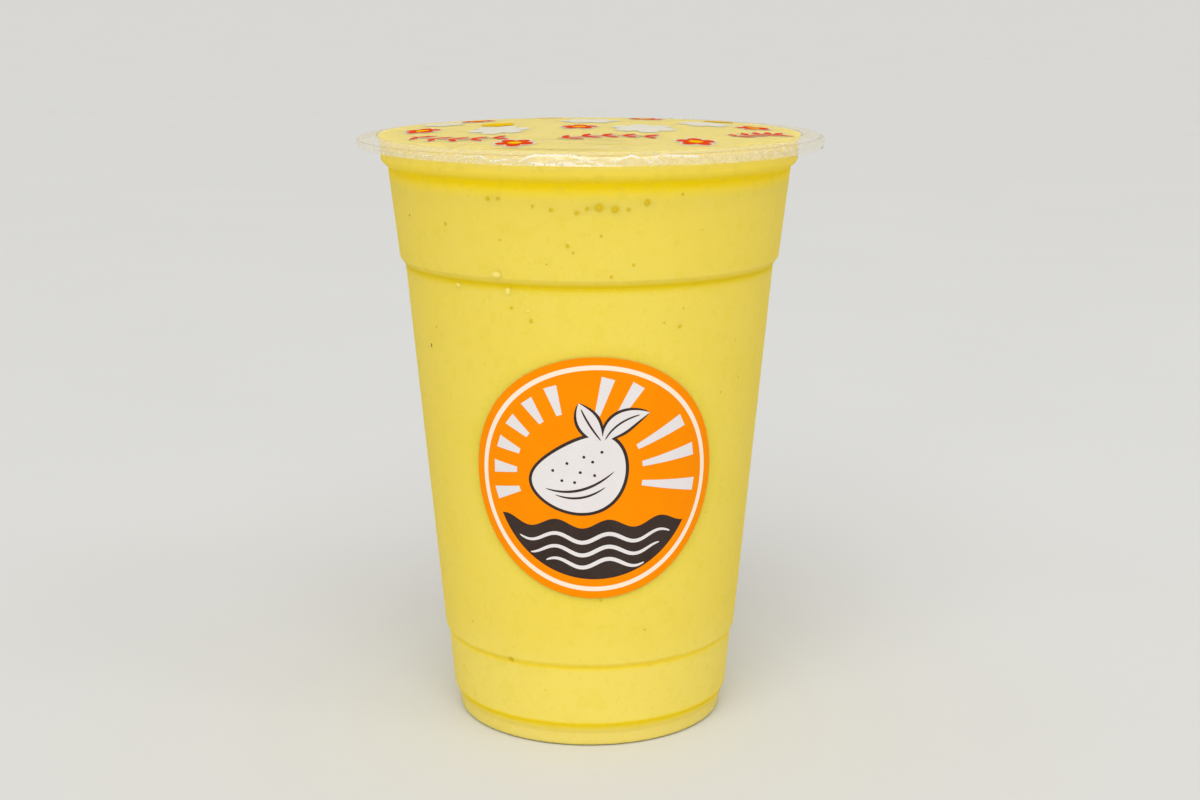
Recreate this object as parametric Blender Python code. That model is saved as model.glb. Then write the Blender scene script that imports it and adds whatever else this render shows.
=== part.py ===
# A clear take-away cup, full of mango smoothie and sealed with a film lid.
# Metres, +Z up. The origin is the middle of the foot, and the label faces -Y.

import math

import bpy

# Rim. The flange is level from the mouth to the seal and falls a little from there outwards.
RIM_HEIGHT = 0.1226
MOUTH_RADIUS = 0.0422
SEAL_RADIUS = 0.0435
FLANGE_RADIUS = 0.0474
FLANGE_THICKNESS = 0.0010
FLANGE_SLOPE = 0.075

# Film lid, crowned inside the seal by the drink under it
FILM_RADIUS = 0.0482
FILM_THICKNESS = 0.0003
FILM_CROWN = 0.0018
FILM_EDGE_ROUND = 0.0009
FILM_HEM_BOTTOM = 0.1207
CROWN_RINGS = 8

# Bead under the flange
BEAD_RADIUS = 0.0430
BEAD_TOP = 0.1209
BEAD_BOTTOM = 0.1180

# Wall bands, each a straight cone: bottom height, bottom radius, top height, top radius
TOP_BAND = (0.0983, 0.03945, 0.1169, 0.0416)
MAIN_BAND = (0.0189, 0.0313, 0.0968, 0.03835)
LOWER_BAND = (0.0055, 0.02955, 0.0179, 0.03068)

# Foot
FOOT_STEP_HEIGHT = 0.0029
FOOT_STEP_RADIUS = 0.0284
FOOT_RADIUS = 0.0282
FOOT_RING_WIDTH = 0.0030
RECESS_HEIGHT = 0.0016
RECESS_DRAFT = 0.0006

# Wall and clearances
WALL = 0.0006
STEP_LIFT = 0.0002
CLEARANCE = 0.0003

# Label
LABEL_RADIUS = 0.0250
LABEL_HEIGHT = 0.0584
LABEL_TURN = math.radians(2.2)
LABEL_THICKNESS = 0.0002
LABEL_GAP = 0.0002
LABEL_COLUMNS = 24

# Faceting
SIDES = 64
ARC_STEPS = 2
MERGE_DISTANCE = 0.00001

# Fillets of the profile
EDGE_FILLET = 0.0004
STEP_FILLET = 0.0005
FOOT_FILLET = 0.0008
NO_FILLET = 0.0


def clear_scene():
    for old in list(bpy.data.objects):
        bpy.data.objects.remove(old, do_unlink=True)


def make_material(name, colour, roughness, transmission=0.0, ior=1.45):
    material = bpy.data.materials.new(name)
    material.use_nodes = True
    shader = material.node_tree.nodes["Principled BSDF"]
    shader.inputs["Base Color"].default_value = (*colour, 1.0)
    shader.inputs["Roughness"].default_value = roughness
    shader.inputs["Metallic"].default_value = 0.0
    shader.inputs["Transmission Weight"].default_value = transmission
    shader.inputs["IOR"].default_value = ior
    return material


# Turns each corner (radius, height, fillet) into an arc tangent to both of its sides.
def round_corners(corners):
    points = []
    for index, (radius, height, fillet) in enumerate(corners):
        if fillet == NO_FILLET:
            points.append((radius, height))
            continue
        before = corners[index - 1]
        after = corners[index + 1]
        heading_in = math.atan2(height - before[1], radius - before[0])
        heading_out = math.atan2(after[1] - height, after[0] - radius)
        turn = math.remainder(heading_out - heading_in, 2 * math.pi)
        tangent = fillet * math.tan(abs(turn) / 2)
        side = math.copysign(math.pi / 2, turn)
        start_r = radius - tangent * math.cos(heading_in)
        start_z = height - tangent * math.sin(heading_in)
        centre_r = start_r + fillet * math.cos(heading_in + side)
        centre_z = start_z + fillet * math.sin(heading_in + side)
        for step in range(ARC_STEPS + 1):
            angle = heading_in - side + turn * step / ARC_STEPS
            points.append((centre_r + fillet * math.cos(angle), centre_z + fillet * math.sin(angle)))
    return points


# Spins a profile of (radius, height) points round the Z axis. It runs down the outer side.
def turned_piece(name, profile, material):
    mesh = bpy.data.meshes.new(name)
    vertices = [(radius, 0.0, height) for radius, height in profile]
    edges = [(index, index + 1) for index in range(len(profile) - 1)]
    mesh.from_pydata(vertices, edges, [])
    mesh.materials.append(material)
    piece = bpy.data.objects.new(name, mesh)
    bpy.context.scene.collection.objects.link(piece)
    spin = piece.modifiers.new("Spin", "SCREW")
    spin.axis = "Z"
    spin.angle = 2 * math.pi
    spin.steps = SIDES
    spin.render_steps = SIDES
    spin.use_merge_vertices = True
    spin.merge_threshold = MERGE_DISTANCE
    spin.use_smooth_shade = True
    return piece


# How far the flange and the film on it have fallen at a radius outside the seal.
def flange_fall(radius):
    return FLANGE_SLOPE * (radius - SEAL_RADIUS)


# The crown inside the seal, an arch of radius squared, as points from the seal to the middle.
def crown_points(base_height, edge_radius):
    points = []
    for ring in range(CROWN_RINGS, -1, -1):
        radius = edge_radius * ring / CROWN_RINGS
        rise = FILM_CROWN * (1 - (radius / SEAL_RADIUS) ** 2)
        points.append((radius, base_height + rise, NO_FILLET))
    return points


# The outside of the cup from the seal down to the middle of the underside.
def outer_corners():
    top_low, top_low_r, top_high, top_high_r = TOP_BAND
    main_low, main_low_r, main_high, main_high_r = MAIN_BAND
    lower_low, lower_low_r, lower_high, lower_high_r = LOWER_BAND
    flange_top = RIM_HEIGHT - flange_fall(FLANGE_RADIUS)
    ring_inside = FOOT_RADIUS - FOOT_RING_WIDTH
    return [
        (SEAL_RADIUS, RIM_HEIGHT, NO_FILLET),
        (FLANGE_RADIUS, flange_top, EDGE_FILLET),
        (FLANGE_RADIUS, flange_top - FLANGE_THICKNESS, EDGE_FILLET),
        (BEAD_RADIUS, BEAD_TOP, STEP_FILLET),
        (BEAD_RADIUS, BEAD_BOTTOM, STEP_FILLET),
        (top_high_r, top_high, EDGE_FILLET),
        (top_low_r, top_low, STEP_FILLET),
        (main_high_r, main_high, EDGE_FILLET),
        (main_low_r, main_low, STEP_FILLET),
        (lower_high_r, lower_high, EDGE_FILLET),
        (lower_low_r, lower_low, FOOT_FILLET),
        (FOOT_STEP_RADIUS, FOOT_STEP_HEIGHT, FOOT_FILLET),
        (FOOT_RADIUS, 0.0, FOOT_FILLET),
        (ring_inside, 0.0, NO_FILLET),
        (ring_inside - RECESS_DRAFT, RECESS_HEIGHT, NO_FILLET),
        (0.0, RECESS_HEIGHT, NO_FILLET),
    ]


# The inside of the cup, drawn in by a gap, from the middle of the floor up to the mouth.
# The wall is one thin sheet, so the inside follows the foot ring down and round.
def inner_corners(gap, mouth_height):
    inset = WALL + gap
    top_low, top_low_r, top_high, top_high_r = TOP_BAND
    main_low, main_low_r, main_high, main_high_r = MAIN_BAND
    lower_low, lower_low_r, lower_high, lower_high_r = LOWER_BAND
    ring_inside = FOOT_RADIUS - FOOT_RING_WIDTH
    return [
        (0.0, RECESS_HEIGHT + inset, NO_FILLET),
        (ring_inside - RECESS_DRAFT + inset, RECESS_HEIGHT + inset, NO_FILLET),
        (ring_inside + inset, inset, NO_FILLET),
        (FOOT_RADIUS - inset, inset, NO_FILLET),
        (FOOT_STEP_RADIUS - inset, FOOT_STEP_HEIGHT + STEP_LIFT, NO_FILLET),
        (lower_low_r - inset, lower_low + STEP_LIFT, NO_FILLET),
        (lower_high_r - inset, lower_high + STEP_LIFT, NO_FILLET),
        (main_low_r - inset, main_low + STEP_LIFT, NO_FILLET),
        (main_high_r - inset, main_high + STEP_LIFT, NO_FILLET),
        (top_low_r - inset, top_low + STEP_LIFT, NO_FILLET),
        (top_high_r - inset, top_high + STEP_LIFT, NO_FILLET),
        (MOUTH_RADIUS - gap, BEAD_BOTTOM + STEP_LIFT, NO_FILLET),
        (MOUTH_RADIUS - gap, mouth_height, NO_FILLET),
    ]


def make_cup():
    clear_plastic = make_material("clear_plastic", (0.93, 0.94, 0.90), 0.12, 1.0, 1.49)
    profile = round_corners(inner_corners(0.0, RIM_HEIGHT) + outer_corners())
    return turned_piece("cup", profile, clear_plastic)


# The drink fills the cup up to the film, so its top is crowned as the film is.
def make_smoothie():
    mango = make_material("mango_smoothie", (0.86, 0.66, 0.11), 0.55)
    side = inner_corners(CLEARANCE, RIM_HEIGHT)
    side.pop()
    top = crown_points(RIM_HEIGHT, MOUTH_RADIUS - CLEARANCE)
    profile = round_corners(side + top)
    return turned_piece("smoothie", profile[::-1], mango)


# A film crowned over the mouth, with a hem turned down over the edge of the flange.
def make_film_lid():
    film = make_material("printed_film", (0.93, 0.92, 0.84), 0.15, 1.0, 1.5)
    under = RIM_HEIGHT + CLEARANCE
    top = under + FILM_THICKNESS
    hem_inside = FILM_RADIUS - FILM_THICKNESS
    edge = [
        (FILM_RADIUS, top - flange_fall(FILM_RADIUS), FILM_EDGE_ROUND),
        (FILM_RADIUS, FILM_HEM_BOTTOM, NO_FILLET),
        (hem_inside, FILM_HEM_BOTTOM, NO_FILLET),
        (hem_inside, under - flange_fall(hem_inside), FILM_EDGE_ROUND - FILM_THICKNESS),
    ]
    profile = crown_points(top, SEAL_RADIUS)[::-1] + edge + crown_points(under, SEAL_RADIUS)
    return turned_piece("film_lid", round_corners(profile), film)


# A point of the label: arc length along the wall and slant length up it, on the main band.
def point_on_wall(along, up, gap):
    main_low, main_low_r, main_high, main_high_r = MAIN_BAND
    flare = (main_high_r - main_low_r) / (main_high - main_low)
    slant = math.atan(flare)
    height = LABEL_HEIGHT + up * math.cos(slant)
    middle_radius = main_low_r + flare * (LABEL_HEIGHT - main_low)
    turn = LABEL_TURN + along / middle_radius
    radius = main_low_r + flare * (height - main_low) + gap
    return (radius * math.sin(turn), -radius * math.cos(turn), height)


# A round label wrapped on the wall. Its columns run straight up the cone, so they lie on it.
def make_label():
    orange = make_material("label_print", (0.95, 0.30, 0.02), 0.35)
    vertices = []
    for column in range(LABEL_COLUMNS + 1):
        sweep = math.pi * (column / LABEL_COLUMNS - 0.5)
        along = LABEL_RADIUS * math.sin(sweep)
        half_height = LABEL_RADIUS * math.cos(sweep)
        ends = (0.0,) if column in (0, LABEL_COLUMNS) else (-half_height, half_height)
        for up in ends:
            vertices.append(point_on_wall(along, up, LABEL_GAP))
    last = len(vertices) - 1
    faces = [(0, 1, 2)]
    for low in range(1, last - 2, 2):
        faces.append((low, low + 2, low + 3, low + 1))
    faces.append((last - 2, last, last - 1))
    mesh = bpy.data.meshes.new("label")
    mesh.from_pydata(vertices, [], faces)
    mesh.materials.append(orange)
    mesh.shade_smooth()
    piece = bpy.data.objects.new("label", mesh)
    bpy.context.scene.collection.objects.link(piece)
    thickness = piece.modifiers.new("Thickness", "SOLIDIFY")
    thickness.thickness = LABEL_THICKNESS
    thickness.offset = 1.0
    return piece


clear_scene()
make_cup()
make_smoothie()
make_film_lid()
make_label()
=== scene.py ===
# Mango smoothie in a clear take-away cup, sealed with a printed film. Metres, +Z up, label towards -Y.
import math

import bmesh
import bpy
import numpy as np
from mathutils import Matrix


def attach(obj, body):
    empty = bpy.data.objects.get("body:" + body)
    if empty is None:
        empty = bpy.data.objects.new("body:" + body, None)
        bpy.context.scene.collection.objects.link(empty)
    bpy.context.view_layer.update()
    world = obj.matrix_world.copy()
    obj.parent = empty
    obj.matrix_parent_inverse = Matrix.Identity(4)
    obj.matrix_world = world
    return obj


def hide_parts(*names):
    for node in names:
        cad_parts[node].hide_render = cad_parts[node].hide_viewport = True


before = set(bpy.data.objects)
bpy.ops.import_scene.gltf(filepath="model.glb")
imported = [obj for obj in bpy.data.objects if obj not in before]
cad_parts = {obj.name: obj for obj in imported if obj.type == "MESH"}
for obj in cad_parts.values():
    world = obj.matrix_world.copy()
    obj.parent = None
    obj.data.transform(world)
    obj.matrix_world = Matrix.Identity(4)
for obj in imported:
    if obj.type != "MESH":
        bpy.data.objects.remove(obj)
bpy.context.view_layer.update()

fullTurn = 2 * np.pi
mm = 0.001
sameSpot = 1e-7                      # metres: points nearer than this are merged
print("frame loaded:", ", ".join(sorted(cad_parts)))


# Helpers for shapes

def unit(vectors):
    # each vector divided by its length
    return vectors / np.maximum(np.linalg.norm(vectors, axis=-1, keepdims=True), 1e-12)


def roundedProfile(corners, arcSteps, spacing):
    # Each corner (radius, height, fillet) turns into an arc that touches both of its sides:
    # centre = corner + bisector * fillet / sin(half angle). Straight runs then get a point every spacing,
    # apart from points too close to one that is there.
    corners = np.asarray(corners, float)
    point, fillet = corners[:, :2], corners[:, 2]
    toBefore = unit(np.roll(point, 1, axis=0) - point)
    toAfter = unit(np.roll(point, -1, axis=0) - point)
    half = np.arccos(np.clip((toBefore * toAfter).sum(axis=1), -0.99999, 0.99999)) / 2
    centre = point + unit(toBefore + toAfter) * (fillet / np.sin(half))[:, None]
    start = point + toBefore * (fillet / np.tan(half))[:, None] - centre
    end = point + toAfter * (fillet / np.tan(half))[:, None] - centre
    turn = (np.pi - 2 * half)[:, None, None]
    share = np.linspace(0, 1, arcSteps + 1)[None, :, None]
    arc = (np.sin((1 - share) * turn) * start[:, None] + np.sin(share * turn) * end[:, None]) / np.sin(turn)
    line = (centre[:, None] + arc).reshape(-1, 2)
    step = np.linalg.norm(np.diff(line, axis=0), axis=1)
    line = line[np.concatenate([[True], step > sameSpot])]
    run = np.concatenate([[0], np.cumsum(np.linalg.norm(np.diff(line, axis=0), axis=1))])
    extra = np.arange(spacing, run[-1], spacing)
    nearest = np.abs(extra[:, None] - run[None, :]).min(axis=1)
    everyRun = np.sort(np.concatenate([run, extra[nearest > spacing * 0.4]]))
    return np.stack([np.interp(everyRun, run, line[:, 0]), np.interp(everyRun, run, line[:, 1])], axis=1)


def aroundAxis(radius, turn, height):
    # (r, turn, z) -> (r sin(turn), -r cos(turn), z), with a turn of 0 at the front
    points = np.broadcast_arrays(radius * np.sin(turn), -radius * np.cos(turn), height)
    return np.stack(points, axis=-1)


def turnedGrid(profile, columns):
    # surface of revolution: each point (r, z) of the profile at the turn of every column
    turn = np.arange(columns) / columns * fullTurn
    return aroundAxis(profile[:, :1], turn, profile[:, 1:])


def gridFaces(rows, columns, first=0, closed=True, flip=False):
    # quads between neighbouring rows of a grid; closed joins the last column to the first
    row = np.arange(rows - 1)[:, None]
    column = np.arange(columns if closed else columns - 1)[None, :]
    after = (column + 1) % columns
    a, b = row * columns + column, row * columns + after
    quads = np.stack([a, b, b + columns, a + columns], axis=-1).reshape(-1, 4) + first
    return quads[:, ::-1] if flip else quads


def meshPiece(name, points, faces, material, smoothAngle=50, weld=True, outward=False, sheet=0.0,
              marks=None):
    # Puts arrays of points and faces into one mesh piece, merges doubles, thickens it where sheet is given
    # and shades it smooth. marks holds a value for each point under a name that the material reads.
    mesh = bpy.data.meshes.new(name)
    mesh.from_pydata(np.asarray(points, float).reshape(-1, 3).tolist(), [], [list(f) for f in faces])
    for mark, values in (marks or {}).items():
        values = np.asarray(values, np.float32).ravel()
        mesh.attributes.new(mark, "FLOAT", "POINT").data.foreach_set("value", values)
    if weld:
        shape = bmesh.new()
        shape.from_mesh(mesh)
        bmesh.ops.remove_doubles(shape, verts=shape.verts, dist=sameSpot)
        bmesh.ops.dissolve_degenerate(shape, edges=shape.edges, dist=0.1 * sameSpot)
        if outward:
            bmesh.ops.recalc_face_normals(shape, faces=shape.faces)
        if sheet:
            bmesh.ops.solidify(shape, geom=shape.faces[:], thickness=sheet)
        shape.to_mesh(mesh)
        shape.free()
    mesh.materials.append(material)
    mesh.shade_smooth()
    mesh.set_sharp_from_angle(angle=math.radians(smoothAngle))
    piece = bpy.data.objects.new(name, mesh)
    bpy.context.scene.collection.objects.link(piece)
    return piece


def waveSum(points, height, waves, shortest, longest, seed):
    # height * sum over i of sin(k_i . p + phase_i) / sqrt(2 waves); directions and lengths are drawn once
    draw = np.random.default_rng(seed)
    heading = unit(draw.normal(size=(waves, points.shape[-1])))
    length = draw.uniform(shortest, longest, waves)
    phase = draw.uniform(0, fullTurn, waves)
    total = np.sin(points @ (heading / length[:, None] * fullTurn).T + phase).sum(axis=-1)
    return height * (total / np.sqrt(waves * 2))


def smoothStep(value, low, high):
    # 0 below low, 1 above high, and 3 t^2 - 2 t^3 between them
    t = np.clip((value - low) / (high - low), 0, 1)
    return t * t * (3 - 2 * t)


def rideRoot(piece, slot, *nodes):
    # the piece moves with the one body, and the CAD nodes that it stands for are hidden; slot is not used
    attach(piece, "root")
    if nodes:
        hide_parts(*nodes)
    return piece


# Helpers for materials

def newMaterial(name):
    # a material with an empty node tree, which the helpers below fill until the next material is made
    global tree
    material = bpy.data.materials.new(name)
    material.use_nodes = True
    tree = material.node_tree
    tree.nodes.clear()
    return material


def addNode(kind, inputs=None, **settings):
    # a new node; an input that is another node's socket is linked, any other is set as a value
    made = tree.nodes.new(kind)
    for key, value in settings.items():
        setattr(made, key, value)
    for key, value in (inputs or {}).items():
        if isinstance(value, bpy.types.NodeSocket):
            tree.links.new(value, made.inputs[key])
        else:
            made.inputs[key].default_value = value
    return made


def calc(operation, first, *others):
    # the values taken together by one operation, from left to right
    for other in others:
        first = addNode("ShaderNodeMath", {0: first, 1: other}, operation=operation).outputs[0]
    return first


def times(*values):
    # the product of the values
    return calc("MULTIPLY", *values)


def plus(*values):
    # the sum of the values
    return calc("ADD", *values)


def largest(*values):
    # the largest of the values
    return calc("MAXIMUM", *values)


def ramp(value, low, high, fromLow=0.0, toHigh=1.0):
    # smooth ramp from low (gives fromLow) to high (gives toHigh)
    made = addNode("ShaderNodeMapRange", {"Value": value, "From Min": low, "From Max": high,
                   "To Min": fromLow, "To Max": toHigh}, interpolation_type="SMOOTHSTEP", clamp=True)
    return made.outputs["Result"]


def band(value, middle, below, above):
    # 1 at middle, falling smoothly to 0 at middle - below and at middle + above
    rise = ramp(value, middle - below, middle)
    return times(rise, ramp(value, middle, middle + above, 1.0, 0.0))


def uneven(value, grain):
    # value times 0.75 to 1.25, as the grain goes from low to high
    return times(value, ramp(grain, 0.3, 0.7, 0.75, 1.25))


def blendColour(share, first, second):
    # (1 - share) * first + share * second
    made = addNode("ShaderNodeMix", data_type="RGBA")
    for socket, value in ((0, share), (6, first), (7, second)):
        if isinstance(value, bpy.types.NodeSocket):
            tree.links.new(value, made.inputs[socket])
        else:
            made.inputs[socket].default_value = value if socket == 0 else (*value, 1.0)
    return made.outputs[2]


def objectPlace():
    # a point's place on the piece, whole and as x, y and z
    place = addNode("ShaderNodeTexCoord").outputs["Object"]
    split = addNode("ShaderNodeSeparateXYZ", {0: place})
    return place, split.outputs["X"], split.outputs["Y"], split.outputs["Z"]


def radiusOf(x, y):
    # distance from the cup's axis: the square root of x^2 + y^2
    square = plus(times(x, x), times(y, y))
    return addNode("ShaderNodeMath", {0: square}, operation="SQRT").outputs[0]


def noise(place, size, detail=2.0, stretch=(1, 1, 1)):
    # noise whose blobs are about size metres across
    mapped = addNode("ShaderNodeMapping", {"Vector": place, "Scale": stretch})
    made = addNode("ShaderNodeTexNoise", {"Vector": mapped.outputs[0], "Scale": 1 / size, "Detail": detail})
    return made.outputs["Fac"]


def patchy(place, colour, size, detail, low, high, share, tone):
    # the colour with patches of a tone: the share of the tone rises as noise goes from low to high
    return blendColour(ramp(noise(place, size, detail), low, high, 0.0, share), colour, tone)


def bump(height, distance, strength, under=None):
    # under is the normal of a coarser bump that this one is added to
    made = addNode("ShaderNodeBump", {"Height": height, "Distance": distance, "Strength": strength})
    if under is not None:
        tree.links.new(under, made.inputs["Normal"])
    return made.outputs["Normal"]


def pointMark(mark):
    # the value that the mesh holds for each point under a name
    return addNode("ShaderNodeAttribute", attribute_name=mark).outputs["Fac"]


def finishMaterial(shader):
    # the shader node goes to the surface
    addNode("ShaderNodeOutputMaterial", {"Surface": shader.outputs[0]})


def coated(colour, roughness, gloss, normal=None, more=None, **settings):
    # the usual surface shader with a colour, a roughness and a gloss
    inputs = {"Base Color": colour, "Roughness": roughness, "Specular IOR Level": gloss, **(more or {})}
    if normal is not None:
        inputs["Normal"] = normal
    return addNode("ShaderNodeBsdfPrincipled", inputs, **settings)


def mixShaders(share, first, second):
    # (1 - share) * first + share * second, of two shader nodes
    return addNode("ShaderNodeMixShader", {0: share, 1: first.outputs[0], 2: second.outputs[0]})


def thinClear(s, normal, haze, hazeColour, mostGloss):
    # Clear thin plastic: see-through, plus haze that is part lit from outside and part lit through, plus a
    # gloss of min(Fresnel, most gloss). Haze and gloss are only on the side that faces out.
    gloss = addNode("ShaderNodeBsdfGlossy", {"Color": (1, 1, 1, 1), "Roughness": s["roughness"],
                    "Normal": normal})
    fresnel = addNode("ShaderNodeFresnel", {"IOR": s["ior"], "Normal": normal}).outputs[0]
    inner = addNode("ShaderNodeNewGeometry").outputs["Backfacing"]
    outer = calc("SUBTRACT", 1.0, inner)
    glossShare = times(calc("MINIMUM", fresnel, mostGloss), outer)
    clear = addNode("ShaderNodeBsdfTransparent", {"Color": (*s["tint"], 1)})
    diffuse = addNode("ShaderNodeBsdfDiffuse", {"Color": hazeColour})
    through = addNode("ShaderNodeBsdfTranslucent", {"Color": hazeColour})
    milky = mixShaders(s["litThrough"], diffuse, through)
    body = mixShaders(times(haze, outer), clear, milky)
    return mixShaders(glossShare, body, gloss)


# Cup: one thin moulded sheet with a flange, a bead, two steps and a stepped foot

cupShape = {
    "columns": 256,
    "arcSteps": 6,
    "rowSpacing": 1.6 * mm,
    "wall": 0.6 * mm,
    "mouthRadius": 42.2 * mm,
    "rimHeight": 122.6 * mm,
    "sealRadius": 43.5 * mm,
    "flangeRadius": 47.4 * mm,
    "flangeSlope": 0.075,
    "flangeThickness": 1.0 * mm,
    "beadRadius": 43.0 * mm,
    "beadTop": 120.9 * mm,
    "beadBottom": 118.0 * mm,
    # top, main and lower band: low height, low radius, high height, high radius
    "bands": ((98.3 * mm, 39.45 * mm, 116.9 * mm, 41.6 * mm), (18.9 * mm, 31.3 * mm, 96.8 * mm, 38.35 * mm),
              (5.5 * mm, 29.55 * mm, 17.9 * mm, 30.68 * mm)),
    "footStep": (2.9 * mm, 28.4 * mm),
    "footRadius": 28.2 * mm,
    "footRing": 3.0 * mm,
    "recessHeight": 1.6 * mm,
    "recessDraft": 0.6 * mm,
    "edgeFillet": 0.4 * mm,
    "stepFillet": 0.6 * mm,
    "beadFillet": 1.5 * mm,
    "footFillet": 0.8 * mm,
    "fog": 0.13,                     # pale bloom on the bead just under the flange
    "fogRise": (119.0 * mm, 120.9 * mm),
    "flangeHaze": 0.10,
    "flangeStart": (42.9 * mm, 43.6 * mm),
    "hazeColour": (0.92, 0.92, 0.88, 1),
    "litThrough": 0.4,               # share of the haze that is lit from the other side
    "tint": (0.99, 0.99, 0.98),
    "roughness": 0.10,
    "ior": 1.45,
    "gloss": 0.022,
    "flow": (9 * mm, 2.0, (1, 1, 0.3)),   # faint flow of the moulded sheet: size, detail, stretch
    "grain": (0.5 * mm, 3.0),
    "relief": (0.10 * mm, 0.5),
    # grooves, which mirror only the wall itself: height, reach above, reach below
    "grooves": ((116.9 * mm, 1.9 * mm, 2.2 * mm), (97.1 * mm, 1.3 * mm, 1.4 * mm),
                (18.1 * mm, 1.2 * mm, 0.9 * mm), (5.3 * mm, 0.9 * mm, 1.5 * mm)),
}


def flangeFall(radius):
    # the flange and the film on it fall by slope * (radius - seal radius) outside the seal
    return cupShape["flangeSlope"] * np.maximum(radius - cupShape["sealRadius"], 0)


def bodyCorners(inset):
    # corners of the wall from under the bead to the middle of the underside, drawn in by inset
    s = cupShape
    edge, step, foot = s["edgeFillet"], s["stepFillet"], s["footFillet"]
    ringInside = s["footRadius"] - s["footRing"]
    corners = [(s["beadRadius"] - inset, s["beadBottom"], s["beadFillet"])]
    for (low, lowRadius, high, highRadius), fillet in zip(s["bands"], (step, step, foot)):
        corners += [(highRadius - inset, high, edge), (lowRadius - inset, low, fillet)]
    return corners + [
        (s["footStep"][1] - inset, s["footStep"][0], foot),
        (s["footRadius"] - inset, inset, foot - inset / 2),
        (ringInside + inset, inset, edge / 2),
        (ringInside - s["recessDraft"] + inset, s["recessHeight"] + inset, edge / 2),
        (0, s["recessHeight"] + inset, 0),
    ]


def wallRadius(height):
    # the outer face's radius at a height, straight between the ends of the three bands
    s = cupShape
    ends = [s["footStep"]] + [end for band in s["bands"][::-1] for end in (band[:2], band[2:])]
    ends.append((s["beadBottom"], s["beadRadius"]))
    return np.interp(height, [end[0] for end in ends], [end[1] for end in ends])


def clearPlastic():
    # haze = flange haze beyond the mouth + fog under the flange; gloss * (1 - groove) for each groove
    s = cupShape
    material = newMaterial("clearPlastic")
    place, x, y, z = objectPlace()
    onFlange = times(ramp(radiusOf(x, y), *s["flangeStart"]), s["flangeHaze"])
    underFlange = times(ramp(z, *s["fogRise"]), s["fog"])
    grain = noise(place, *s["grain"])
    haze = uneven(plus(onFlange, underFlange), grain)
    relief = plus(noise(place, *s["flow"]), times(grain, 0.05))
    gloss = s["gloss"]
    for height, above, below in s["grooves"]:
        beside = calc("SUBTRACT", 1.0, band(z, height, below, above))
        gloss = times(beside, gloss)
    finishMaterial(thinClear(s, bump(relief, *s["relief"]), haze, s["hazeColour"], gloss))
    return material


def makeCup():
    # one closed profile, the outer face down to the middle of the foot and the inner face back up, turned
    s = cupShape
    edge = s["edgeFillet"]
    flangeTop = s["rimHeight"] - flangeFall(s["flangeRadius"])
    outer = [
        (s["mouthRadius"], s["rimHeight"], edge / 2),
        (s["sealRadius"], s["rimHeight"], 0),
        (s["flangeRadius"], flangeTop, edge),
        (s["flangeRadius"], flangeTop - s["flangeThickness"], edge),
        (s["beadRadius"], s["beadTop"], s["stepFillet"]),
    ] + bodyCorners(0)
    start = (s["mouthRadius"], s["beadTop"], 0)
    inner = bodyCorners(s["wall"])[:0:-1] + [(s["mouthRadius"], s["beadBottom"] - 0.3 * mm, 0), start]
    profile = np.concatenate([roundedProfile([start] + outer, s["arcSteps"], s["rowSpacing"]),
                              roundedProfile(inner, s["arcSteps"] // 2, 2 * s["rowSpacing"])])
    grid = turnedGrid(profile, s["columns"])
    faces = gridFaces(len(profile), s["columns"])
    piece = meshPiece("cup_shell", grid, faces, clearPlastic(), 40, outward=True)
    return rideRoot(piece, "clear_plastic", "cup")


makeCup()
print("cup shell made")


# Film lid: its shape over the mouth, which the drink's top follows, and then its edge, hem and finish

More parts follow.
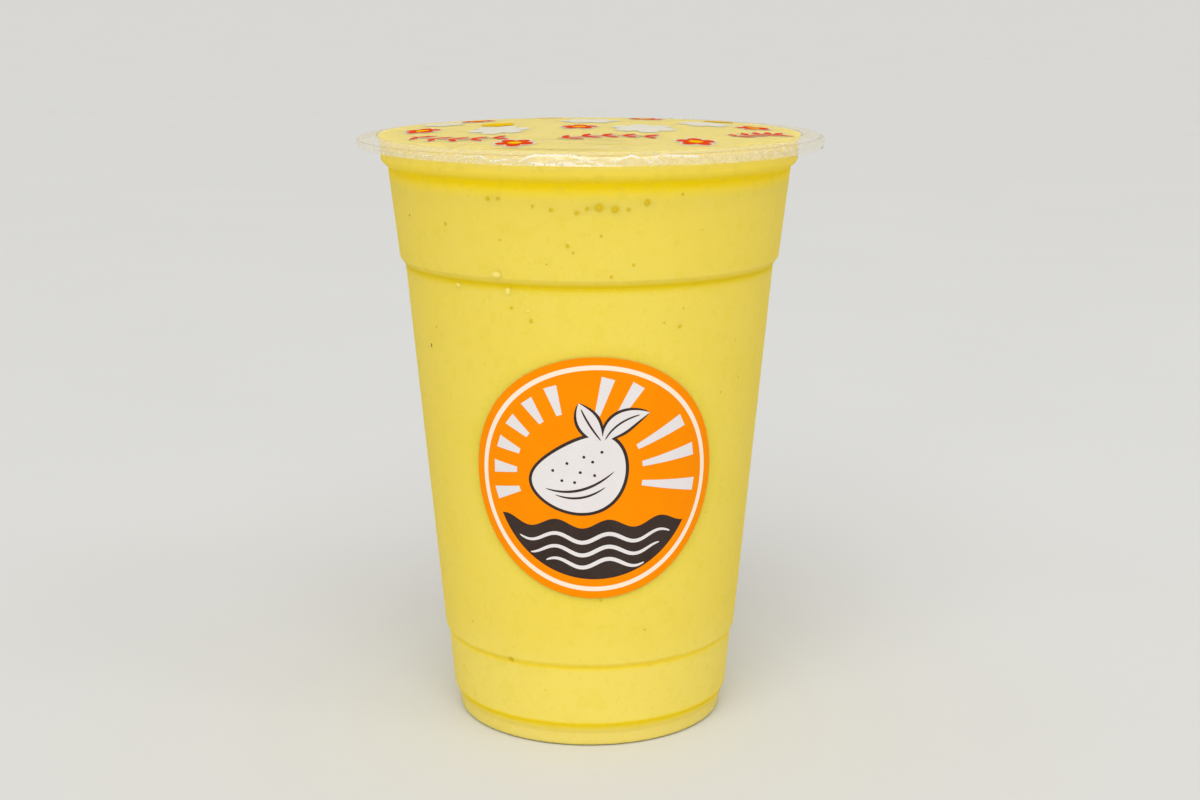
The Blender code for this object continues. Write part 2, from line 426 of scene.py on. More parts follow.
filmShape = {
    "columns": 1000,
    "innerColumns": 250,
    "innerRows": 52,
    "sealHeight": 123.12 * mm,       # top of the film at the seal
    "crown": 1.72 * mm,
    "edgeRadius": 47.95 * mm,
    "mostRadius": 48.18 * mm,
    "edgeRound": 0.75 * mm,
    "hemBottom": 120.95 * mm,
    "thickness": 0.05 * mm,
    # waves: height, how many, shortest, longest, seed
    "crownWaves": (0.040 * mm, 18, 8 * mm, 20 * mm, 5),
    "spokeSway": (2.2, 8, 14 * mm, 30 * mm, 3),
    "edgeWaves": (0.14 * mm, 14, 9 * mm, 26 * mm, 7),
    "ripple": (0.012 * mm, 20, 2 * mm, 5 * mm, 9),
    "tuckWaves": (0.10 * mm, 10, 8 * mm, 20 * mm, 13),
    "spokes": 84,                    # fine wrinkles that run out to the seal
    "spokeHeight": 0.012 * mm,
    "folds": 16,                     # long soft folds across the crown
    "foldHeight": 0.05 * mm,
    "foldWidth": 0.7 * mm,
    "foldSeed": 11,
    "lean": 0.24 * mm,               # the film sits a little to the right
    "tuck": 0.30 * mm,
    "tuckStart": (0.45 * mm, 2.0 * mm),    # depths under the seal between which the hem is tucked in
    "waveStart": (44.5 * mm, 47.2 * mm),   # radii between which the waves and creases grow
    # creases on the hem as lines of (arc length from the front, height above the seal), in mm
    "frontCreases": (
        ((-12.9, -1.5), (-10.1, -0.35), (-2.9, -0.35), (-0.1, -1.3), (2.6, -1.9)),
        ((4.3, -1.4), (8.0, -0.45), (9.5, -0.9)),
        ((10.6, -0.9), (11.6, -1.6), (12.6, -0.8), (13.4, -1.7)),
        ((13.9, -0.55), (21.0, -0.9)),
        ((-10.6, -1.7), (-7.4, -2.0), (-4.6, -1.6), (-1.6, -2.1)),
        ((-24.0, -1.1), (-20.5, -0.8), (-18.2, -1.6), (-15.1, -1.2)),
        ((-16.0, -2.1), (-4.0, -2.2), (6.0, -2.1)),
        ((42.4, -0.5), (43.1, -1.2), (42.7, -1.7)),
    ),
    "frontWidth": 0.42 * mm,
    "randomCreases": 95,
    "randomLength": (1.5 * mm, 6.0 * mm),
    "randomWidth": 0.30 * mm,
    "randomSeed": 29,
    "creaseHeight": 0.13 * mm,
    "haze": 0.07,
    "hemHaze": (121.6 * mm, 122.9 * mm, 0.12, 0.0),
    "flangeHaze": 0.17,
    "flangeStart": (43.0 * mm, 44.2 * mm),
    # darker lines, where the film is welded down and where it turns over: radius, reach in and out, amount
    "edgeLines": ((43.5 * mm, 0.22 * mm, 0.30 * mm, 0.34), (47.60 * mm, 0.25 * mm, 0.22 * mm, 0.26)),
    # long tension wrinkles at the front left of the seal, bumped, with painted light on their crests and
    # painted shade in their hollows
    "streak": (2.1 * mm, 1.5, (0.07, 1, 1)),
    "wrinkleCrestLight": (0.52, 0.62, 0.0, 0.27),
    "wrinkleHollowShade": (0.36, 0.46, 0.20, 0.0),
    "relief": (0.05 * mm, 0.3),
    "hazeColour": (0.93, 0.91, 0.84),
    "darkColour": (0.34, 0.28, 0.18),
    "paintedGlintColour": (1.0, 1.0, 1.0),
    "paintedGlint": 0.95,
    "litThrough": 0.4,
    "tint": (0.99, 0.985, 0.96),
    "roughness": 0.07,
    "ior": 1.7,
    "gloss": 0.20,
}


def crownHeight(radius):
    # the film's height inside the seal: seal height + crown * (1 - (r / seal radius)^2), falling outside it
    rise = filmShape["crown"] * (1 - np.minimum(radius / cupShape["sealRadius"], 1) ** 2)
    return filmShape["sealHeight"] + rise - flangeFall(radius)


def ridge(along, up, startPoint, endPoint, width, flat=False):
    # along a segment, exp(-distance / width), or with flat flanks 1 - distance / width down to 0
    start, end = np.array(startPoint, float), np.array(endPoint, float)
    line = end - start
    past, above = along - start[0], up - start[1]
    share = np.clip((past * line[0] + above * line[1]) / max(line @ line, 1e-12), 0, 1)
    distance = np.hypot(past - share * line[0], above - share * line[1])
    return np.maximum(1 - distance / width, 0) if flat else np.exp(-distance / width)


def crownRelief(x, y):
    # fine radial tension wrinkles near the seal, soft waves, and a few long straight folds, added up
    s = filmShape
    radius, turn = np.hypot(x, y), np.arctan2(x, -y)
    plane = np.stack([x, y], axis=-1)
    inside = 1 - smoothStep(radius, 42.6 * mm, 43.5 * mm)
    pull = smoothStep(radius, 24 * mm, 41 * mm) * inside
    spoke = np.sin(s["spokes"] * turn + waveSum(plane, *s["spokeSway"]))
    relief = s["spokeHeight"] * spoke * pull + waveSum(plane, *s["crownWaves"]) * inside
    draw = np.random.default_rng(s["foldSeed"])
    for _ in range(s["folds"]):
        middle = draw.uniform(-30, 30, 2) * mm
        half = draw.uniform(5, 14) * mm * np.array([np.cos(draw.uniform(0, np.pi)), 0.0])
        half[1] = half[0] * draw.uniform(-0.8, 0.8)
        fold = ridge(x, y, middle - half, middle + half, s["foldWidth"])
        relief = relief + s["foldHeight"] * fold * inside
    return relief


def filmTop(x, y):
    # height of the film's upper face over the mouth: crown + relief
    return crownHeight(np.hypot(x, y)) + crownRelief(x, y)


# Smoothie: fills the cup just into its wall, and its top is crowned under the film

drinkShape = {
    "rowSpacing": 1.5 * mm,
    "topRings": 60,
    "intoWall": 0.15 * mm,           # depth of the drink's skin under the outer face
    "lipRadius": 43.35 * mm,         # it wets the rim as far as the seal
    "topGap": 0.04 * mm,
    "colour": (0.875, 0.686, 0.081),
    # patches: size, detail, where the noise begins and is whole, share, tone
    "cloud": (14 * mm, 2.0, 0.35, 0.70, 0.22, (0.880, 0.720, 0.138)),
    "pulp": (0.55 * mm, 3.0, 0.54, 0.70, 0.15, (0.92, 0.80, 0.28)),
    "flecks": (0.9 * mm, 1.0, 0.62, 0.74, 0.20, (0.74, 0.54, 0.02)),
    "mottle": (2.6 * mm, 3.0, 0.52, 0.66, 0.22, (0.80, 0.63, 0.03)),
    # fades of lower wall, foot, rim and top: heights from and to, share below, share above, tone
    "fades": (
        (16 * mm, 26 * mm, 0.55, 0.0, (0.900, 0.740, 0.150)),
        (3.4 * mm, 4.6 * mm, 0.75, 0.0, (0.84, 0.675, 0.165)),
        # painted light: the rim's brighter tone lifts the bead out of the flange's shade
        (117.4 * mm, 118.8 * mm, 0.0, 1.0, (0.990, 0.770, 0.080)),
        (121.8 * mm, 122.7 * mm, 0.0, 1.0, (0.900, 0.765, 0.150)),
    ),
    # a faint painted shade round the label, where the sticker keeps light off the drink: its centre on the
    # wall, where it starts and ends, amount, tone
    "labelShade": ((1.34 * mm, -34.90 * mm, 58.4 * mm), 25.0 * mm, 28.2 * mm, 0.30, (0.79, 0.61, 0.01)),
    # painted shade: deep yellow lines where the wall turns and its overhang shades the drink: height, fade
    # above, fade below, amount, brightness
    "turnShadeLines": (
        (116.5 * mm, 3.0 * mm, 3.6 * mm, 1.0, 1.0),
        (96.85 * mm, 1.3 * mm, 2.0 * mm, 0.92, 0.84),
        (17.95 * mm, 1.5 * mm, 1.4 * mm, 0.50, 0.97),
        (5.2 * mm, 0.9 * mm, 2.5 * mm, 0.85, 0.92),
    ),
    # the two tones of such a painted shade line: share of the fade above, share of the fade below, tone
    "shadeLineTones": ((1.0, 1.0, (1.000, 0.750, 0.014)), (0.45, 0.5, (0.960, 0.700, 0.0004))),
    "scatter": (0.8, (1.0, 0.75, 0.15), 3.0 * mm),   # share, reach of red, green and blue, depth
    "roughness": 0.6,
    "gloss": 0.06,
    "relief": (0.05 * mm, 0.4),
}


def mangoSmoothie():
    # one blend of tones after another: clouds, fades by height with painted light at the rim, the painted
    # shade round the label, the painted shade lines where the wall turns, the pulp
    s = drinkShape
    material = newMaterial("mangoSmoothie")
    place, *_, z = objectPlace()
    colour = patchy(place, s["colour"], *s["cloud"])
    for low, high, shareBelow, shareAbove, tone in s["fades"]:
        colour = blendColour(ramp(z, low, high, shareBelow, shareAbove), colour, tone)
    centre, shadeStart, shadeEnd, shadeShare, shadeTone = s["labelShade"]
    away = addNode("ShaderNodeVectorMath", {0: place, 1: centre}, operation="DISTANCE").outputs["Value"]
    colour = blendColour(ramp(away, shadeStart, shadeEnd, shadeShare, 0.0), colour, shadeTone)
    # painted shade: deep yellow lines at the wall's turns
    for height, above, below, amount, bright in s["turnShadeLines"]:
        for ofAbove, ofBelow, tone in s["shadeLineTones"]:
            share = times(band(z, height, ofBelow * below, ofAbove * above), amount)
            colour = blendColour(share, colour, tuple(bright * c for c in tone))
    for patches in (s["pulp"], s["flecks"], s["mottle"]):
        colour = patchy(place, colour, *patches)
    relief = noise(place, *s["pulp"][:2])
    scatter = dict(zip(("Subsurface Weight", "Subsurface Radius", "Subsurface Scale"), s["scatter"]))
    finishMaterial(coated(colour, s["roughness"], s["gloss"], bump(relief, *s["relief"]),
                          scatter, subsurface_method="BURLEY"))
    return material


def makeDrink():
    # the crowned top as rings, then the cup's wall drawn in, turned; the top takes the film's relief
    s = drinkShape
    under = filmShape["thickness"] + s["topGap"]
    ring = np.linspace(0, 1, s["topRings"]) * s["lipRadius"]
    top = np.stack([ring, crownHeight(ring) - under], axis=1)
    wall = cupShape["beadRadius"] - s["intoWall"]
    side = [(s["lipRadius"], top[-1, 1], 0), (s["lipRadius"] - 0.1 * mm, cupShape["rimHeight"], 0),
            (wall, cupShape["rimHeight"] - 0.2 * mm, 0)] + bodyCorners(s["intoWall"])
    profile = np.concatenate([top, roundedProfile(side, cupShape["arcSteps"], s["rowSpacing"])])
    grid = turnedGrid(profile, cupShape["columns"])
    face = grid[:s["topRings"]]
    face[..., 2] = filmTop(face[..., 0], face[..., 1]) - under
    faces = gridFaces(len(profile), cupShape["columns"])
    piece = meshPiece("smoothie_fill", grid, faces, mangoSmoothie(), 60, outward=True)
    return rideRoot(piece, "mango_smoothie", "smoothie")


makeDrink()
print("smoothie made")


# Film lid: crowned sheet, wavy hem, creases

def hemCreases(along, up):
    # the highest of the named and the random creases on the flange edge and hem
    s = filmShape
    loop = fullTurn * s["edgeRadius"]
    total = np.zeros(along.shape)
    for line in s["frontCreases"]:
        for start, end in zip(line[:-1], line[1:]):
            crest = ridge(along, up, np.array(start) * mm, np.array(end) * mm, s["frontWidth"], True)
            total = np.maximum(total, crest)
    draw = np.random.default_rng(s["randomSeed"])
    for _ in range(s["randomCreases"]):
        start = np.array([draw.uniform(-0.5, 0.5) * loop, draw.uniform(-2.1, -0.3) * mm])
        heading = draw.normal(0, 0.55)
        step = draw.uniform(*s["randomLength"]) * np.array([np.cos(heading), np.sin(heading) * 0.6])
        strength = draw.uniform(0.45, 0.95)
        wrapped = (along - start[0] + loop / 2) % loop - loop / 2 + start[0]
        total = np.maximum(total, strength * ridge(wrapped, up, start, start + step, s["randomWidth"], True))
    return total


def filmSkin(depth):
    # The film's face at a depth below its upper side: the crown as an inner grid, then the flange, the
    # rounded edge and the hem as an outer grid with more columns. Each point moves along its normal by
    # lean + waves + creases + ripple - depth, and the hem's lower part goes down by half its tuck.
    s = filmShape
    rows, edge = s["innerRows"], s["edgeRadius"]
    middle = np.stack([np.linspace(0, 38.5, rows) * mm, np.zeros(rows)], axis=1)
    inner = turnedGrid(middle, s["innerColumns"])
    inner[..., 2] = filmTop(inner[..., 0], inner[..., 1]) - depth
    edgeTop = crownHeight(edge)
    ring = np.linspace(39.2 * mm, 43.1 * mm, 6)
    flat = np.linspace(cupShape["sealRadius"], edge - 1.4 * mm, 5)
    rounded = roundedProfile([(edge - s["edgeRound"] - 0.3 * mm, edgeTop + 0.08 * mm, 0),
                              (edge, edgeTop, s["edgeRound"]), (edge, s["hemBottom"], 0)], 6, 0.17 * mm)
    ringLine = np.concatenate([np.stack([ring, crownHeight(ring)], axis=1),
                               np.stack([flat, crownHeight(flat)], axis=1), rounded])
    slope = np.gradient(ringLine, axis=0)
    normal = unit(np.stack([-slope[:, 1], slope[:, 0]], axis=1))
    outer = turnedGrid(ringLine, s["columns"])
    turn = (np.arange(s["columns"]) / s["columns"] * fullTurn)[None, :]
    turn = (turn + np.pi) % fullTurn - np.pi
    lineRadius, lineHeight = ringLine[:, :1], ringLine[:, 1:]
    along = turn * edge + np.zeros((len(ringLine), 1))
    drop = s["sealHeight"] - lineHeight
    onHem = smoothStep(drop, *s["tuckStart"])
    offFlat = smoothStep(lineRadius, *s["waveStart"])
    lean = s["lean"] * np.sin(turn)
    flutter = waveSum(outer, *s["edgeWaves"]) * (0.25 + onHem)
    push = offFlat * (lean - 0.02 * mm + flutter) - offFlat * s["creaseHeight"] * 0.3
    crest = hemCreases(along, -drop)
    push = push + offFlat * s["creaseHeight"] * crest
    push = push + smoothStep(lineRadius, 43 * mm, 44 * mm) * waveSum(outer, *s["ripple"])
    tuck = s["tuck"] * (np.cos(turn) + np.sin(turn) * 0.8) + waveSum(outer[-1:], *s["tuckWaves"])
    move = push - depth
    radius = np.minimum(lineRadius + normal[:, :1] * move, s["mostRadius"])
    height = lineHeight + normal[:, 1:] * move - onHem * tuck * 0.5
    outer = aroundAxis(radius, turn, height)
    overMouth = ringLine[:, 0] < 43.45 * mm
    outer[overMouth, :, 2] += crownRelief(outer[overMouth, :, 0], outer[overMouth, :, 1])
    return inner, outer, crest * smoothStep(lineRadius, 45.6 * mm, 47.2 * mm)


def bridgeFaces(innerFirst, outerFirst, innerColumns, outerColumns, flip):
    # polygons that join each edge of the coarse ring to the matching run of the fine ring
    ratio = outerColumns // innerColumns
    column = np.arange(innerColumns)[:, None]
    coarse = innerFirst + np.concatenate([column, (column + 1) % innerColumns], axis=1)
    fine = outerFirst + (column * ratio + np.arange(ratio, -1, -1)[None, :]) % outerColumns
    faces = np.concatenate([coarse, fine], axis=1)
    return faces[:, ::-1] if flip else faces


def sealFilm():
    # haze = film + hem + flange + dots, or where larger the painted light on the wrinkles, the dark lines
    # with the painted shade of the wrinkles, or the painted glints
    s = filmShape
    material = newMaterial("sealFilm")
    place, x, y, z = objectPlace()
    radius = radiusOf(x, y)
    fine = noise(place, 0.35 * mm)
    speck = noise(place, 0.8 * mm)
    crinkle = noise(place, 1.6 * mm, 3.0)
    onFlange = ramp(radius, *s["flangeStart"])
    haze = plus(s["haze"], ramp(z, *s["hemHaze"]), times(onFlange, s["flangeHaze"]))
    dots = times(ramp(speck, 0.58, 0.68, 0.0, 0.10), onFlange)
    haze = plus(uneven(haze, crinkle), dots)
    weld, turned = [times(band(radius, *where), amount) for *where, amount in s["edgeLines"]]
    turned = times(turned, ramp(z, 122.3 * mm, 122.6 * mm))
    bent = addNode("ShaderNodeVectorRotate", {"Vector": place, "Angle": math.radians(9)},
                   rotation_type="Z_AXIS")
    streak = noise(bent.outputs[0], *s["streak"])
    atFront = times(ramp(y, -30 * mm, -18 * mm, 1.0, 0.0), ramp(x, 2 * mm, 20 * mm, 1.0, 0.2),
                    ramp(radius, 42.2 * mm, 43.2 * mm, 1.0, 0.0))
    # painted light on the wrinkles' crests and painted shade in their hollows, besides their bump
    haze = largest(haze, times(ramp(streak, *s["wrinkleCrestLight"]), atFront))
    dark = largest(weld, turned, times(ramp(streak, *s["wrinkleHollowShade"]), atFront))
    # painted glints: white haze on the creases' crests stands in for lamp reflections
    onCrest = ramp(pointMark("crest"), 0.50, 0.80)
    paintedGlint = times(onCrest, ramp(speck, 0.34, 0.48, 0.3, 1.0))
    hazeColour = blendColour(ramp(dark, 0.0, 0.10), s["hazeColour"], s["darkColour"])
    hazeColour = blendColour(ramp(paintedGlint, 0.0, 0.30), hazeColour, s["paintedGlintColour"])
    haze = largest(haze, dark, times(paintedGlint, s["paintedGlint"]))
    streaks = bump(times(streak, atFront), 0.5 * mm, 0.8)
    relief = plus(crinkle, times(fine, 0.12))
    normal = bump(relief, *s["relief"], streaks)
    finishMaterial(thinClear(s, normal, haze, hazeColour, s["gloss"]))
    return material


def makeFilm():
    # the film's two faces, a thickness apart, joined round the hem's lower edge
    s = filmShape
    blocks, faces, crests, lastRing, first = [], [], [], [], 0
    for depth, flip in ((0.0, True), (s["thickness"], False)):
        inner, outer, crest = filmSkin(depth)
        crests += [np.zeros(inner[..., 0].size), crest.ravel()]
        outerFirst = first + inner[..., 0].size
        faces += gridFaces(len(inner), s["innerColumns"], first, flip=flip).tolist()
        faces += gridFaces(len(outer), s["columns"], outerFirst, flip=flip).tolist()
        lastInner = outerFirst - s["innerColumns"]
        faces += bridgeFaces(lastInner, outerFirst, s["innerColumns"], s["columns"], flip).tolist()
        blocks += [inner.reshape(-1, 3), outer.reshape(-1, 3)]
        first = outerFirst + outer[..., 0].size
        lastRing.append(first - s["columns"])
    column = np.arange(s["columns"])
    after = (column + 1) % s["columns"]
    top, bottom = lastRing
    faces += np.stack([top + column, top + after, bottom + after, bottom + column], axis=1).tolist()
    piece = meshPiece("seal_film", np.concatenate(blocks), faces, sealFilm(), 60, outward=True,
                      marks={"crest": np.concatenate(crests)})
    return rideRoot(piece, "printed_film", "film_lid")


makeFilm()
print("seal film made")


# Flat motifs: patches in a plane of (a, b), laid on the film or wrapped on the wall

def ruledPatch(firstEdge, secondEdge, rows=4):
    # (s, t) -> (1 - t) * first edge(s) + t * second edge(s)
    share = np.linspace(0, 1, rows + 1)[:, None, None]
    return (1 - share) * firstEdge[None] + share * secondEdge[None]


def circleLine(a, b, radius, count=96):
    # (a + radius * cos(angle), b + radius * sin(angle))
    turn = np.linspace(0, fullTurn, count + 1)
    return np.stack([a + radius * np.cos(turn), b + radius * np.sin(turn)], axis=1)


def discPatch(a, b, outline, rows=4):
    # rows of the outline shrunk towards the point (a, b)
    return ruledPatch(np.zeros_like(outline) + (a, b), outline, rows)


def bend(start, through, end, count=28):
    # quadratic curve: (1 - s)^2 start + 2 s (1 - s) through + s^2 end
    s = np.linspace(0, 1, count + 1)[:, None]
    return (1 - s) ** 2 * np.array(start) + 2 * s * (1 - s) * np.array(through) + s ** 2 * np.array(end)


def stroke(line, halfWidth, power=0.6, rows=2):
    # a strip along a line, with half width * sin(pi s)^power on each side
    s = np.linspace(0, 1, len(line))
    heading = unit(np.gradient(line, axis=0))
    side = np.stack([-heading[:, 1], heading[:, 0]], axis=1)
    width = halfWidth * np.maximum(np.sin(np.pi * s), 1e-4) ** power
    return ruledPatch(line - side * width[:, None], line + side * width[:, None], rows)


def blossom(a, b, size, petals, turn, depth, count=120):
    # outline: size * (1 - depth + depth * |cos(petals * angle / 2)|^0.75), longer than wide
    angle = np.linspace(0, fullTurn, count + 1)
    reach = size * (1 - depth + depth * np.abs(np.cos(petals * angle / 2)) ** 0.75)
    stretch = filmPrint["stretch"]
    return np.stack([a + reach * np.cos(angle + turn), b + stretch * reach * np.sin(angle + turn)], axis=1)


def motifPiece(name, patches, laid, material, slot, thickness):
    # all patches as one thin solid; each patch is turned so that its face looks out
    points, faces, first = [], [], 0
    for patch in patches:
        rows, columns = patch.shape[:2]
        across, down = np.diff(patch, axis=1)[:-1], np.diff(patch, axis=0)[:, :-1]
        area = (across[..., 0] * down[..., 1] - across[..., 1] * down[..., 0]).sum()
        faces += gridFaces(rows, columns, first, closed=False, flip=area < 0).tolist()
        points.append(laid(patch[..., 0], patch[..., 1]).reshape(-1, 3))
        first += rows * columns
    piece = meshPiece(name, np.concatenate(points), faces, material, 40, sheet=thickness)
    return rideRoot(piece, slot)


def printInk(s, name):
    # ink whose tone goes from its colour to the lighter one by fine grain + soft clouds
    colour, lighter, roughness, gloss, *through = s["inks"][name]
    material = newMaterial(name)
    place = objectPlace()[0]
    speck = noise(place, s["grain"])
    cloud = noise(place, 6 * mm)
    share = plus(ramp(speck, 0.45, 0.75, 0.0, 0.5), ramp(cloud, 0.35, 0.75, 0.0, 0.4))
    tone = blendColour(share, colour, lighter)
    shader = coated(tone, roughness, gloss, bump(speck, 0.02 * mm, 0.3))
    if through:
        clear = addNode("ShaderNodeBsdfTransparent", {"Color": (*through[1], 1)})
        shader = mixShaders(through[0], shader, clear)
    finishMaterial(shader)
    return material


# Film print: scattered blossoms and leafy twigs

filmPrint = {
    # blossoms: x, y, size in mm, turn in degrees
    "redBlossoms": ((-34, -4, 3.8, 10), (-14, -32, 3.8, 50), (20.5, -29, 3.9, 20), (12, 24, 3.9, 0),
                    (34, 3, 3.8, 35), (-24, 19, 3.8, 60), (-2, -6, 3.8, 15)),
    "yellowBlossoms": ((-9, 31, 3.6, 0), (28, 22, 3.5, 25), (-19, 3, 3.6, 40)),
    "whiteBlossoms": ((-18, -10, 6.2, 12), (11, -8, 6.8, 40), (0, 11, 6.4, 0), (24, 8, 5.8, 5),
                      (-31, 12, 4.8, 30)),
    "halo": 0.45,                    # white rim round a red blossom
    # twigs: start, bend and end in mm
    "twigs": (((-35, -15), (-28, -27), (-17, -24)), ((-6, -27), (2, -21), (12, -23)),
              ((28, -19), (34, -10), (38, -9))),
    "leaf": (4.2, 0.80, 48),         # length, half width, lean from the stem in degrees
    "stem": 0.22,                    # half width
    "heart": 0.36,                   # size of a red blossom's yellow heart, as a share of the blossom's
    "stretch": 1.25,                 # the blossoms are drawn a little longer than wide
    "lift": (0.020 * mm, 0.031 * mm, 0.042 * mm),
    "thickness": 0.008 * mm,
    # inks: colour, lighter colour, roughness, gloss, share of light that goes through, its tint
    "inks": {
        "whiteInk": ((0.78, 0.77, 0.66), (0.86, 0.85, 0.74), 0.3, 0.0, 0.16, (1, 1, 1)),
        "redInk": ((0.76, 0.060, 0.010), (0.82, 0.12, 0.02), 0.35, 0.0, 0.12, (1, 0.4, 0.2)),
        "yellowInk": ((0.90, 0.55, 0.004), (0.94, 0.68, 0.010), 0.35, 0.0, 0.12, (1, 0.9, 0.3)),
    },
    "grain": 0.5 * mm,
}


def twigPatches(twig, grow):
    # a thin stem with leaves in pairs along it; grow widens everything for the white halo under it
    p = filmPrint
    stem = bend(*twig)
    patches = [stroke(stem, p["stem"] + grow, 0.2)]
    length, half, leafLean = p["leaf"]
    heading = unit(np.gradient(stem, axis=0))
    for index in range(2, len(stem) - 1, 6):
        for side in (-1, 1):
            lean = math.radians(leafLean) * side
            turnTo = np.array([[math.cos(lean), -math.sin(lean)], [math.sin(lean), math.cos(lean)]])
            tip = stem[index] + turnTo @ heading[index] * (length + grow)
            middle = (stem[index] + tip) / 2 + heading[index] * 0.4
            patches.append(stroke(bend(stem[index], middle, tip, 10), half + grow, 0.8))
    return patches


def layOnFilm(lift):
    # (a, b) in mm -> (a, b, the film's height there + lift)
    def laid(a, b):
        x, y = a * mm, b * mm
        return np.stack([x, y, filmTop(x, y) + lift], axis=-1)
    return laid


def makeFilmPrint():
    # Three layers of ink: white under red under yellow. A kind of blossom has its layer, its places, its
    # growth, a number of petals and the depth to which they are cut.
    p = filmPrint
    white, red, yellow = [], [], []
    for x, y, size, turn in p["redBlossoms"]:
        yellow.append(discPatch(x, y, circleLine(x, y, size * p["heart"], 40)))
    kinds = ((white, "redBlossoms", p["halo"], 5, 0.32), (red, "redBlossoms", 0, 5, 0.42),
             (yellow, "yellowBlossoms", 0, 6, 0.3), (white, "whiteBlossoms", 0, 6, 0.35))
    for layer, places, grow, petals, depth in kinds:
        for x, y, size, turn in p[places]:
            layer.append(discPatch(x, y, blossom(x, y, size + grow, petals, math.radians(turn), depth)))
    for twig in p["twigs"]:
        white += twigPatches(twig, 0.25)
        red += twigPatches(twig, 0.0)
    layers = (("print_white", white, "whiteInk"), ("print_red", red, "redInk"),
              ("print_yellow", yellow, "yellowInk"))
    for (name, patches, ink), lift in zip(layers, p["lift"]):
        motifPiece(name, patches, layOnFilm(lift), printInk(p, ink), "printed_film", p["thickness"])


makeFilmPrint()
print("film print made")


# Label: a round sticker wrapped on the cone, with generic fruit, rays and waves

labelShape = {
    "radius": 25.0,                  # mm, as all of the artwork
    "height": 58.4 * mm,
    "turn": math.radians(2.2),
    "gap": 0.03 * mm,
    "thickness": 0.10 * mm,
    "border": (22.5, 23.45),
    "fieldRadius": 20.9,
    "fruit": (-3.2, 1.2, 9.6, 7.3, math.radians(24)),   # centre, half length, half width, tilt
    # leaves: where they start from the fruit's centre, as length and turn; bend and tip from there
    "leafRoot": (7.9, 0.52),
    "leaves": (((2.2, 5.2), (9.2, 5.8)), ((-3.4, 4.2), (-4.8, 8.2))),
    # curved lines on the fruit, from its centre: start, bend, end, half width
    "fruitLines": (((-6.8, -3.2), (0.5, -5.2), (6.9, 0.6), 0.28),
                   ((-4.8, -4.4), (0.5, -6.2), (5.2, -2.6), 0.24)),
    "dots": ((-5.2, 0.6), (-2.4, 2.2), (-3.4, -1.4), (0.2, 0.4), (2.6, 2.6), (0.9, 3.6), (4.4, 4.6),
             (-0.9, -1.7), (3.0, -0.2)),
    "rayAngles": (-10, 8, 25, 57, 74, 108, 126, 144, 162, 180, 198),
    "rayStart": 12.6,
    "rayHalfWidth": (0.55, 1.35),    # at the start and at the field's edge
    "waveHeight": -9.2,
    "waveSwing": 0.9,
    "waveLength": 10.5,
    "paleWaves": (-12.2, -14.9, -17.5),
    "lift": (0.012 * mm, 0.022 * mm, 0.032 * mm, 0.042 * mm),
    "ink": 0.008 * mm,
    "inks": {                        # colour, lighter colour, roughness, gloss
        "labelOrange": ((0.97, 0.264, 0.0004), (1.0, 0.300, 0.0008), 0.42, 0.03),
        "labelCream": ((0.95, 0.81, 0.66), (0.98, 0.87, 0.74), 0.42, 0.06),
        "labelWhite": ((0.78, 0.745, 0.76), (0.83, 0.80, 0.80), 0.42, 0.06),
        "labelDark": ((0.040, 0.026, 0.022), (0.065, 0.045, 0.038), 0.42, 0.06),
    },
    "grain": 0.25 * mm,
}


def wrapOnCone(lift):
    # The flat sheet rolled on the main band. In the flat, (a, b) lies hypot(a, reach + b) from the cone's
    # tip, which gives the slant height, and at the angle atan(a / (reach + b)), which over sin(slant) gives
    # the turn.
    low, lowRadius, high, highRadius = cupShape["bands"][1]
    slant = math.atan((highRadius - lowRadius) / (high - low))
    reach = wallRadius(labelShape["height"]) / math.sin(slant)

    def laid(a, b):
        height = labelShape["height"] + (np.hypot(a * mm, reach + b * mm) - reach) * math.cos(slant)
        turn = labelShape["turn"] + np.arctan2(a * mm, reach + b * mm) / math.sin(slant)
        return aroundAxis(wallRadius(height) + labelShape["gap"] + lift, turn, height)
    return laid


def fruitOutline(grow=0.0, count=90):
    # an oval bent like a mango: (l cos t, w sin t (1 + taper cos t) + bend (cos^2 t - 1/2)), then tilted
    s = labelShape
    a, b, long, wide, tilt = s["fruit"]
    t = np.linspace(0, fullTurn, count + 1)
    along = (long + grow) * np.cos(t)
    across = (wide + grow) * np.sin(t) * (1 + 0.13 * np.cos(t)) + 1.9 * (np.cos(t) ** 2 - 0.5)
    return np.stack([a + along * np.cos(tilt) - across * np.sin(tilt),
                     b + along * np.sin(tilt) + across * np.cos(tilt)], axis=1)


def rayPatches():
    # wedges that fan out from the fruit and end on the field's edge
    s = labelShape
    a, b = s["fruit"][:2]
    patches = []
    for angle in np.radians(s["rayAngles"]):
        heading = np.array([math.cos(angle), math.sin(angle)])
        side = np.array([-heading[1], heading[0]])
        along = -(a * heading[0] + b * heading[1])
        reach = along + math.sqrt(along ** 2 + s["fieldRadius"] ** 2 - a * a - b * b)
        distance = np.linspace(s["rayStart"], reach, 16)[:, None]
        middle = np.array([a, b]) + heading * distance
        width = np.linspace(*s["rayHalfWidth"], 16)[:, None]
        patches.append(ruledPatch(middle - side * width, middle + side * width, 3))
    return patches


def waveLine(level, count=120, inside=0.0):
    # b = level + swing * sin(2 pi a / length), across the field
    s = labelShape
    half = math.sqrt(s["fieldRadius"] ** 2 - level ** 2) - inside
    a = np.linspace(-half, half, count + 1)
    return np.stack([a, level + s["waveSwing"] * np.sin(a / s["waveLength"] * fullTurn)], axis=1)


